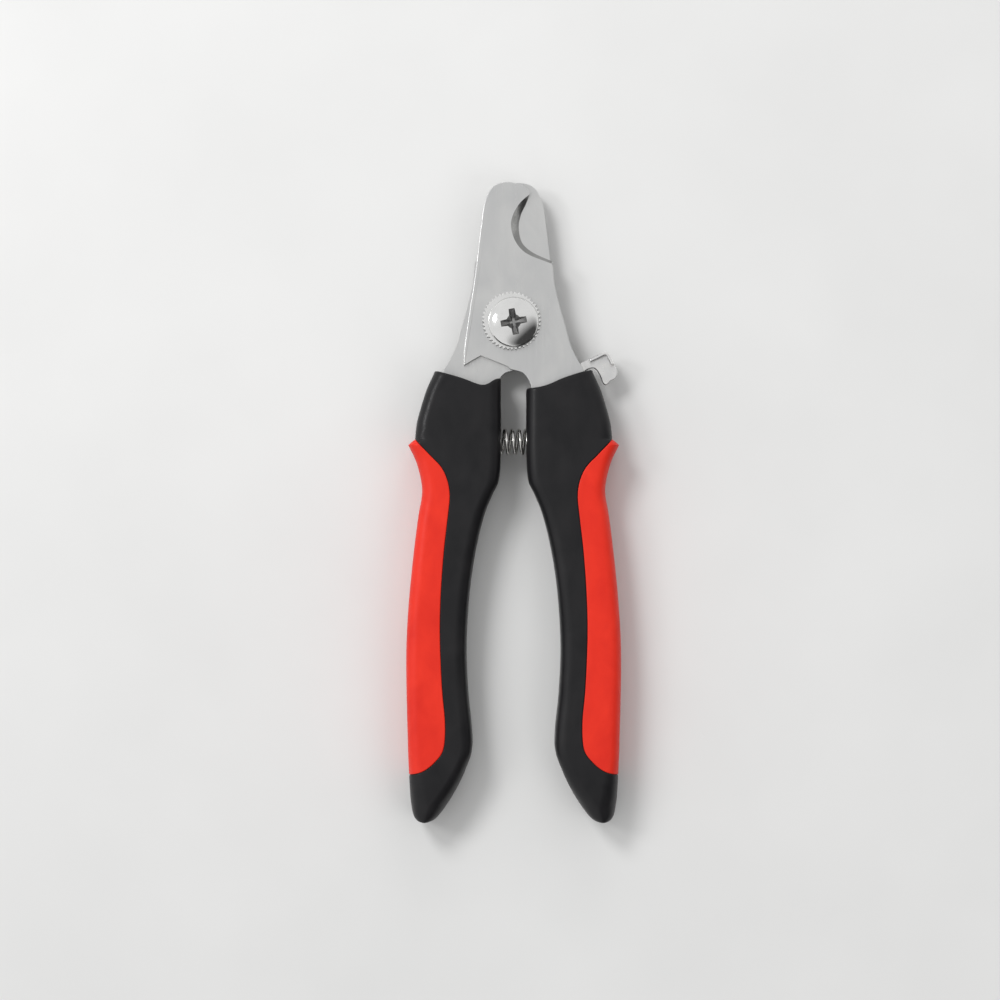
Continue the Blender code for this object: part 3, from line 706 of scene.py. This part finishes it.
def bare_side(start, y, left, right, radius, half, soft):
    """The rest of a handle's half section where no grip covers it: down its rounded outer side."""
    turn_start = math.acos(np.clip((start[0] - (right - radius)) / radius, -1, 1))
    x_out = right - radius + radius * np.cos(np.linspace(turn_start, 0, 14))
    side = list(zip(x_out, half_height(x_out, left, right, radius, half))) + [(right, 0.0)]
    if soft:
        side = [tuple(p) for p in soften_seam(np.array(side), y)]
    side[-1] = (side[-1][0], 0.0)
    return side


def handle_front(y, left, right, grow_in):
    """The front half of a handle's cross-section.

    It runs from the handle's inner side over the top and down its outer side, or down its core's side where
    a grip covers it. The sections of the head's fillet are grown inwards.
    """
    left, right = left + grow_in, right - grow_in
    radius, half = thickness(y, left, right, grow_in)
    half -= GRIP_PROUD
    x_arc = left + radius * (1 - np.cos(np.linspace(0, math.pi / 2, 9)))
    arc_points = np.stack([x_arc, half_height(x_arc, left, right, radius, half)], 1)
    side = [(left, arc_points[0, 1] * t) for t in (0.0, 0.3, 0.65)]
    full_size = grow_in == 0
    gripped = GRIP_BOTTOM <= y <= GRIP_TOP and full_size
    if gripped:
        end = rail_x(GRIP_EDGE, y) - SEAM_GAP * seam_slope(y)
    else:
        away = max(y - GRIP_TOP, GRIP_BOTTOM - y)
        share = min(away / 3.0, 1.0)
        end = right - radius * (0.02 + 0.98 * share) * 0.98
    end = max(end, left + radius * 1.02)
    x_top = towards_seam(x_arc[-1] + 0.02, end, 22)
    top = np.stack([x_top, half_height(x_top, left, right, radius, half)], 1)
    shown = np.concatenate([side, arc_points, top])
    if gripped:
        shown = soften_seam(shown, y)
        rest = core_side(shown[-1], left, right, half)
    else:
        rest = bare_side(top[-1], y, left, right, radius, half, full_size)
    return np.concatenate([shown, spread(rest, 20)[1:]])


def grip_front(y, left, right):
    """The front half of a grip's cross-section, from its inner face past the seam to its outer side."""
    radius, half = thickness(y, left, right)
    start = rail_x(GRIP_EDGE, y) + SEAM_GAP * seam_slope(y)
    start = min(start, right - 0.02)
    middle = max(right - radius, start + 0.4 * (right - start))
    x_top = towards_seam(middle, start, 14)[::-1]
    top = np.stack([x_top, half_height(x_top, left, right, radius, half)], 1)
    turn_start = math.acos(np.clip((middle - (right - radius)) / radius, -1, 1))
    turns = np.linspace(turn_start, 0, 11)[1:]
    x_out = right - radius + radius * np.cos(turns)
    outer = np.stack([x_out, half_height(x_out, left, right, radius, half)], 1)
    side = [(right, outer[-1, 1] * t) for t in (0.65, 0.3)] + [(right, 0.0)]
    shown = soften_seam(np.concatenate([top, outer, side]), y)
    shown[-1, 1] = 0.0
    hollow_right = right - GRIP_THICKNESS
    first = tuple(shown[0])
    if hollow_right > first[0] + LEAST_WIDTH:
        x_in = first[0] + (hollow_right - first[0]) * np.sin(np.linspace(0, math.pi / 2, 20))
        inner = half_height(x_in, left + GRIP_THICKNESS, hollow_right, GRIP_HOLLOW_RADIUS,
                            half - GRIP_THICKNESS)
        hidden = [(hollow_right, 0.0)] + list(zip(x_in, inner))[::-1] + [first]
    else:
        hidden = [(first[0], 0.0), first]
    return np.concatenate([spread(hidden, 16)[:-1], shown])


def ring(front, height_of):
    """A closed cross-section from its front half, mirrored to the back."""
    front = [(x, height_of(x), SHEAR_PLANE + h) for x, h in front]
    back = [(x, y, 2 * SHEAR_PLANE - z) for x, y, z in front[1:-1]][::-1]
    return front + back


def head_rings(top_edge):
    """Sections of the handle's head, which ends along a sloping, slightly curved edge."""
    rings = []
    for fillet in (90, 68, 45, 22):
        angle = math.radians(fillet)
        rings.append((1.0, TOP_FILLET * math.sin(angle), TOP_FILLET * (1 - math.cos(angle))))
    rings += [(share, 0.0, 0.0) for share in np.linspace(1, 0, 13)[:-1]]
    sections = []
    for share, lift, grow_in in rings:
        def height_of(x, share=share, lift=lift):
            edge = float(np.interp(x, top_edge[:, 0], top_edge[:, 1])) - TOP_FILLET
            return HEAD_START + (edge - HEAD_START) * share + lift
        y = height_of(HEAD_X)
        left, right = rail_x(INNER_RAIL, y), rail_x(OUTER_RAIL, y)
        sections.append(ring(handle_front(y, left, right, grow_in), height_of))
    return sections


def make_handle(name, body, material):
    """A handle with its crowned faces, its tang pocket, its spring seat and the right one's lock pocket."""
    is_left = name == "left_handle"
    sections = head_rings(LEFT_TOP_EDGE if is_left else RIGHT_TOP_EDGE)
    for y in arm_rows():
        left, right = rail_x(INNER_RAIL, y), rail_x(OUTER_RAIL, y)
        sections.append(ring(handle_front(y, left, right, 0.0), lambda x, y=y: y))
    handle = loft(name, sections, strips=True)
    tang = grow(blade_outline(0, 2)[0], TANG_CLEARANCE)
    combine(handle, prism("tang_pocket", tang, BLADE_Z[0] - TANG_GAP, BLADE_Z[1] + TANG_GAP))
    combine(handle, spring_socket())
    if is_left:
        half_turn(handle)
    else:
        for cutter in lock_pockets():
            combine(handle, cutter)
    shade(handle, 40, flat_faces=False)
    place(handle, body, "handle_plastic", material, name)


def make_grip(name, body, material):
    """A soft sleeve round the outer side of a handle."""
    rows = [y for y in arm_rows() if GRIP_BOTTOM - 1e-6 <= y <= GRIP_TOP + 1e-6]
    sections = []
    for y in rows:
        left, right = rail_x(INNER_RAIL, y), rail_x(OUTER_RAIL, y)
        sections.append(ring(grip_front(y, left, right), lambda x, y=y: y))
    grip = loft(name, sections, strips=True)
    if name == "left_grip":
        half_turn(grip)
    shade(grip, 40, flat_faces=False)
    place(grip, body, "grip_rubber", material, name)


def spring_socket():
    """A round socket in the handle's inner face, round a peg for the spring's last coil."""
    floor, peg_radius, peg_height, radius, ease = 6.0, 2.05, 1.7, 3.5, 0.4
    profile = [(0.0, floor - peg_height), (peg_radius - ease, floor - peg_height),
               (peg_radius, floor - peg_height + ease), (peg_radius, floor), (radius, floor),
               (radius, 3.5), (radius + ease, 2.9), (radius + ease, 0.0), (0.0, 0.0)]
    socket = turned("spring_socket", (0, 0), profile, 64)
    lie_down = Matrix.Translation((0, SPRING_Y * MM, SHEAR_PLANE * MM))
    socket.data.transform(lie_down @ Matrix.Rotation(math.pi / 2, 4, "Y"))
    return socket


def lock_pockets():
    """The room in the right handle for the lock lever's swing and for its rivet's head."""
    hub_radius, room_below, head_radius, head_floor = 3.0, 0.9, 2.6, 2.6
    hub = arc(LOCK_PIVOT, hub_radius, 180, 300, 16)
    outline = [(6.3, 35.0), *hub, (13.2, 25.3), (15.2, 27.0), (16.7, 29.0), (17.5, 30.8), (17.6, 35.0)]
    swing = prism("lock_swing", outline, LOCK_Z[0] - room_below, SHEAR_PLANE)
    head = cylinder("rivet_head", LOCK_PIVOT, head_radius, head_floor, SHEAR_PLANE, 48)
    return [swing, head]


# ---------------------------------------------------------------- pivot hardware

def cross(reach, half_width, middle, turn, steps=192):
    """A cross with a round middle, as a cross-head driver leaves it."""
    outline = []
    for i in range(steps):
        angle = 2 * math.pi * i / steps
        along = (angle + math.pi / 4) % (math.pi / 2) - math.pi / 4
        arm = min(reach / math.cos(along), half_width / max(abs(math.sin(along)), 1e-6))
        radius = max(arm, middle)
        outline.append((radius * math.cos(angle + turn), radius * math.sin(angle + turn)))
    return outline


def make_screw(material, recess_shade_material):
    """The pan-head screw with its cross recess."""
    foot, top = SCREW_Z
    base = top - SCREW_HEAD_HEIGHT
    shoulder = base + SCREW_RIM_HEIGHT
    crown = [(SCREW_HEAD_RADIUS * math.cos(a), shoulder + SCREW_DOME_HEIGHT * math.sin(a))
             for a in np.radians(np.linspace(12, 90, 18))]
    rim = [(SCREW_HEAD_RADIUS - 0.25, base), (SCREW_HEAD_RADIUS - 0.07, base + 0.07),
           (SCREW_HEAD_RADIUS, base + 0.25), (SCREW_HEAD_RADIUS, shoulder)]
    shank = [(0.0, foot), (SHANK_TIP_RADIUS, foot), (SHANK_RADIUS, foot + 0.4), (SHANK_RADIUS, base)]
    profile = [*shank, *rim, *crown]
    screw = turned("pivot_screw", PIVOT, profile, 128)
    sections = []
    for depth, reach, half_width, middle in RECESS:
        outline = cross(reach, half_width, middle, RECESS_TURN)
        sections.append([(PIVOT.x + x, PIVOT.y + y, top - depth) for x, y in outline])
    combine(screw, loft("cross_recess", sections))
    shade(screw, 30)
    place(screw, "left_lever", "hardware_chrome", material, "pivot_screw")
    # The faces inside the cross recess take a darker, duller steel; the darker colour is painted shade in
    # the recess.
    screw.data.materials.append(recess_shade_material)
    for polygon in screw.data.polygons:
        x, y, z = polygon.center / MM
        radius = math.hypot(x - PIVOT.x, y - PIVOT.y)
        dome = shoulder + SCREW_DOME_HEIGHT * math.sqrt(max(1 - (radius / SCREW_HEAD_RADIUS) ** 2, 0))
        if radius < RECESS_LIMIT and base < z < dome - RECESS_DROP:
            polygon.material_index = 1


def make_toothed_washer(material):
    """The loose washer under the screw's head, with fine teeth round its rim."""
    low, high = WASHER_Z
    ease, per_tooth = 0.12, len(TOOTH_DEPTHS)
    x, y = TOOTHED_WASHER_CENTRE
    outline = []
    for i in range(TEETH * per_tooth):
        angle = 2 * math.pi * i / (TEETH * per_tooth)
        radius = TOOTHED_WASHER_RADIUS - TOOTH_DEPTHS[i % per_tooth]
        outline.append((x + radius * math.cos(angle), y + radius * math.sin(angle)))
    inset = grow(outline, -ease)
    sections = [(inset, low), (outline, low + ease), (outline, high - ease), (inset, high)]
    washer = loft("toothed_washer", [[(px, py, z) for px, py in line] for line, z in sections])
    bore = cylinder("washer_bore", TOOTHED_WASHER_CENTRE, TOOTHED_WASHER_BORE, low - PAST, high + PAST)
    combine(washer, bore)
    shade(washer, 30)
    place(washer, "left_lever", "hardware_chrome", material, "toothed_washer")


def make_nut(material):
    """The hexagon nut at the back, its corners turned off, with the collar that holds the nylon ring."""
    low, high = NUT_Z
    reach = NUT_FLATS / 2 / math.cos(math.pi / 6)
    nut = prism("lock_nut", arc(PIVOT, reach, 10, 370, 6)[:-1], low, high)
    profile = [(0.0, low), (3.75, low), (3.95, low + 0.15), (3.98, low + 0.7),
               (reach - 0.12, low + 1.15), (reach + 0.02, low + 1.5), (reach + 0.02, high - 0.25),
               (reach - 0.45, high), (0.0, high)]
    combine(nut, turned("nut_blank", PIVOT, profile), "INTERSECT")
    combine(nut, cylinder("nut_bore", PIVOT, NUT_BORE, low - PAST, high + PAST))
    combine(nut, cylinder("ring_seat", PIVOT, NUT_SEAT, low - PAST, low + 1.0))
    break_edges(nut, 0.05, 50)
    shade(nut, 25)
    place(nut, "left_lever", "lock_steel", material, "lock_nut")


# ---------------------------------------------------------------- spring and lock

def make_spring(material):
    """The coil between the handles, wound at one even pitch from end to end."""
    per_turn, sides = 40, 14
    steps = int(SPRING_TURNS * per_turn)
    reach = SPRING_HALF_LENGTH - SPRING_WIRE_RADIUS
    path = []
    for i in range(steps + 1):
        angle = 2 * math.pi * i / per_turn
        path.append(Vector((-reach + 2 * reach * i / steps,
                            SPRING_Y + SPRING_MEAN_RADIUS * math.cos(angle),
                            SHEAR_PLANE + SPRING_MEAN_RADIUS * math.sin(angle))))
    sections = []
    for i, point in enumerate(path):
        along = (path[min(i + 1, steps)] - path[max(i - 1, 0)]).normalized()
        out = (point - Vector((point.x, SPRING_Y, SHEAR_PLANE))).normalized()
        across = along.cross(out).normalized()
        out = across.cross(along).normalized()
        sections.append([
            tuple(point + SPRING_WIRE_RADIUS * (math.cos(a) * out + math.sin(a) * across))
            for a in (2 * math.pi * k / sides for k in range(sides))
        ])
    spring = loft("handle_spring", sections)
    shade(spring, 50, flat_faces=False)
    place(spring, None, "spring_steel", material, "handle_spring")
    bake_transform(spring)


def make_lock_lever(material):
    """The thumb lock: a flat lever with a nose and a tab whose rim is turned up."""
    hub = arc(LOCK_PIVOT, 2.6, 120, 290, 20)
    arm = smooth([(12.7, 25.9), (14.7, 27.5), (16.1, 29.4), (17.2, 31.3), (19.2, 31.85), (20.5, 30.3),
                  (21.3, 28.3), (22.2, 27.9), (23.1, 28.8), (24.3, 29.4), (24.8, 30.8), (24.1, 32.6),
                  (23.1, 34.6), (22.4, 35.6), (21.5, 35.8)], 5)
    back = smooth([(18.7, 34.3), (15.9, 33.0), (14.5, 31.0), (13.7, 30.4)], 5)
    nose = smooth([(13.2, 30.8), (12.9, 31.2), (12.5, 31.9), (12.1, 32.05), (11.7, 31.7), (11.3, 30.9),
                   (10.4, 29.4)], 3)
    outline = hub + arm + back + nose
    lever = rounded_plate("lock_lever", outline, LOCK_Z[0], SHEAR_PLANE - LEVER_GAP, LEVER_ROUNDING)
    rim_outer = smooth([(17.8, 33.92), (19.8, 34.87), (21.5, 35.8), (22.4, 35.6), (23.1, 34.6),
                        (24.1, 32.6)], 5)
    rim_inner = smooth([(18.2, 33.0), (20.2, 33.9), (21.8, 34.65), (22.3, 34.0), (23.2, 32.2)], 5)
    rim_outline = grow(rim_outer[::-1] + rim_inner, -RIM_INSET)
    rim = rounded_plate("thumb_rim", rim_outline, LOCK_Z[0] + RIM_FOOT, LOCK_Z[1], RIM_ROUNDING, 6)
    combine(lever, rim, "UNION")
    combine(lever, cylinder("lever_hole", LOCK_PIVOT, LEVER_HOLE_RADIUS, 3, 9))
    shade(lever, 35)
    place(lever, "lock", "lock_steel", material, "lock_lever")


def make_wave_washer(name, body, centre, inner, outer, material):
    """A thin spring washer whose ring rises and falls in waves."""
    low, high = heights(name)
    middle, sheet, steps, ease = (low + high) / 2, 0.3, 120, 0.05
    wave = (high - low - sheet) / 2
    half = sheet / 2
    profile = [(inner, -half + ease), (inner + ease, -half), (outer - ease, -half), (outer, -half + ease),
               (outer, half - ease), (outer - ease, half), (inner + ease, half), (inner, half - ease)]
    washer = turned(name, centre, profile, steps, lambda angle: middle + wave * math.sin(WAVES * angle))
    shade(washer, 35)
    place(washer, body, "lock_steel", material, name)


def make_rivet(material):
    """The lock's rivet, with a low domed head at the back."""
    low, high = heights("lock_rivet")
    head, shank, dome_height, ease = 2.2, 1.25, 0.35, 0.06
    head_top = low + 0.7
    dome = [(head * math.sin(a), low + dome_height * (1 - math.cos(a)))
            for a in np.radians(np.linspace(0, 90, 9))]
    profile = [*dome, (head, low + 0.65), (head - 0.05, head_top), (shank, head_top), (shank, high - ease),
               (shank - ease, high), (0.0, high)]
    rivet = turned("lock_rivet", LOCK_PIVOT, profile, 64)
    shade(rivet, 35)
    place(rivet, "right_lever", "lock_steel", material, "lock_rivet")


def make_nut_ring(material):
    """The nylon ring, which stands round-shouldered in the nut's collar."""
    low, high = heights("nut_ring")
    inner, outer, shoulder = 2.53, 3.42, 0.2
    profile = [(inner, low + shoulder)]
    profile += [(inner + shoulder * (1 - math.cos(a)), low + shoulder * (1 - math.sin(a)))
                for a in np.radians(np.linspace(15, 90, 6))]
    profile += [(outer, low), (outer, high), (inner, high)]
    nut_ring = turned("nut_ring", PIVOT, profile)
    shade(nut_ring, 35)
    place(nut_ring, "left_lever", "nylon", material, "nut_ring")


def make_bush(material):
    """The plain bush that both blades turn on."""
    low, high = heights("pivot_bush")
    inner, outer, ease = 2.55, 3.45, 0.12
    profile = [(inner, low + ease), (inner + ease, low), (outer - ease, low), (outer, low + ease),
               (outer, high - ease), (outer - ease, high), (inner + ease, high), (inner, high - ease)]
    bush = turned("pivot_bush", PIVOT, profile)
    shade(bush, 35)
    place(bush, "left_lever", "lock_steel", material, "pivot_bush")


# ---------------------------------------------------------------- stage

def make_floor(material):
    """A plain floor just below the handles' backs."""
    bm = bmesh.new()
    half = FLOOR_HALF_SIZE
    bm.faces.new([bm.verts.new((x, y, -FLOOR_DROP)) for x, y in
                  ((-half, -half), (half, -half), (half, half), (-half, half))])
    floor = new_object("floor", bm)
    floor.data.materials.append(material)


def add_lamp(name, position, target, size, power, mirrored):
    """A soft round lamp that faces a point. Polished metal only mirrors some of them."""
    light = bpy.data.lights.new(name, "AREA")
    light.shape = "DISK"
    light.size = size
    light.energy = power
    obj = bpy.data.objects.new(name, light)
    obj.location = position
    obj.rotation_euler = (Vector(target) - Vector(position)).to_track_quat("-Z", "Y").to_euler()
    obj.visible_glossy = mirrored
    bpy.context.scene.collection.objects.link(obj)


def make_world():
    """Bright, even surroundings with one dark flag at the lower right; the camera sees a plain backdrop."""
    world = bpy.data.worlds.new("studio")
    bpy.context.scene.world = world
    world.use_nodes = True
    nodes, links = world.node_tree.nodes, world.node_tree.links
    where = nodes.new("ShaderNodeTexCoord")
    towards_flag = nodes.new("ShaderNodeVectorMath")
    towards_flag.operation = "DOT_PRODUCT"
    towards_flag.inputs[1].default_value = Vector(FLAG_DIRECTION).normalized()
    ramp = nodes.new("ShaderNodeValToRGB")
    set_stops(ramp, [(position, (grey,) * 3) for position, grey in FLAG_STOPS])
    links.new(where.outputs["Generated"], towards_flag.inputs[0])
    links.new(towards_flag.outputs["Value"], ramp.inputs["Fac"])
    surroundings = nodes["Background"]
    surroundings.inputs["Strength"].default_value = WORLD_STRENGTH
    links.new(ramp.outputs["Color"], surroundings.inputs["Color"])
    backdrop = nodes.new("ShaderNodeBackground")
    backdrop.inputs["Color"].default_value = (BACKDROP_GREY,) * 3 + (1,)
    seen = nodes.new("ShaderNodeLightPath")
    mix = nodes.new("ShaderNodeMixShader")
    links.new(seen.outputs["Is Camera Ray"], mix.inputs["Fac"])
    links.new(surroundings.outputs["Background"], mix.inputs[1])
    links.new(backdrop.outputs["Background"], mix.inputs[2])
    links.new(mix.outputs["Shader"], nodes["World Output"].inputs["Surface"])


def make_camera():
    """Square on to the trimmer's front, as in the photograph."""
    aim = Vector((*FIELD_CENTRE, SHEAR_PLANE * MM))
    camera = bpy.data.cameras.new("camera")
    camera.sensor_width = 36
    camera.lens = camera.sensor_width * CAMERA_DISTANCE / FIELD_WIDTH
    camera.clip_start, camera.clip_end = 0.01, 10
    obj = bpy.data.objects.new("camera", camera)
    obj.location = aim + Vector((0, 0, CAMERA_DISTANCE))
    bpy.context.scene.collection.objects.link(obj)
    bpy.context.scene.camera = obj


def main():
    steel, shaded_bevel_steel, plate = blade_steel(), shaded_ground_steel(), chrome()
    small_steel = stamped_steel("small_steel")
    make_blade("front_blade", "right_lever", steel, shaded_bevel_steel, True)
    make_blade("rear_blade", "left_lever", steel, shaded_bevel_steel, False)
    plastic, rubber = black_plastic(), red_rubber()
    make_handle("left_handle", "left_lever", plastic)
    make_handle("right_handle", "right_lever", plastic)
    make_grip("left_grip", "left_lever", rubber)
    make_grip("right_grip", "right_lever", rubber)
    # The recess's steel is darker than the chrome: painted shade.
    make_screw(plate, stamped_steel("recess_shade_steel", 0.4, 0.3, 0.5))
    make_toothed_washer(plate)
    make_nut(small_steel)
    make_spring(spring_wire())
    make_lock_lever(stamped_steel("lock_steel", 0.84, 0.26, 0.38))
    make_wave_washer("wave_washer", "left_lever", PIVOT, 2.55, 5.4, small_steel)
    make_wave_washer("lock_wave_washer", "right_lever", LOCK_PIVOT, 1.35, 2.4, small_steel)
    make_rivet(small_steel)
    make_nut_ring(nylon())
    make_bush(small_steel)
    make_floor(floor_paint())
    make_world()
    for lamp in LAMPS:
        add_lamp(*lamp)
    make_camera()
    bpy.context.scene.view_settings.view_transform = "Standard"


main()
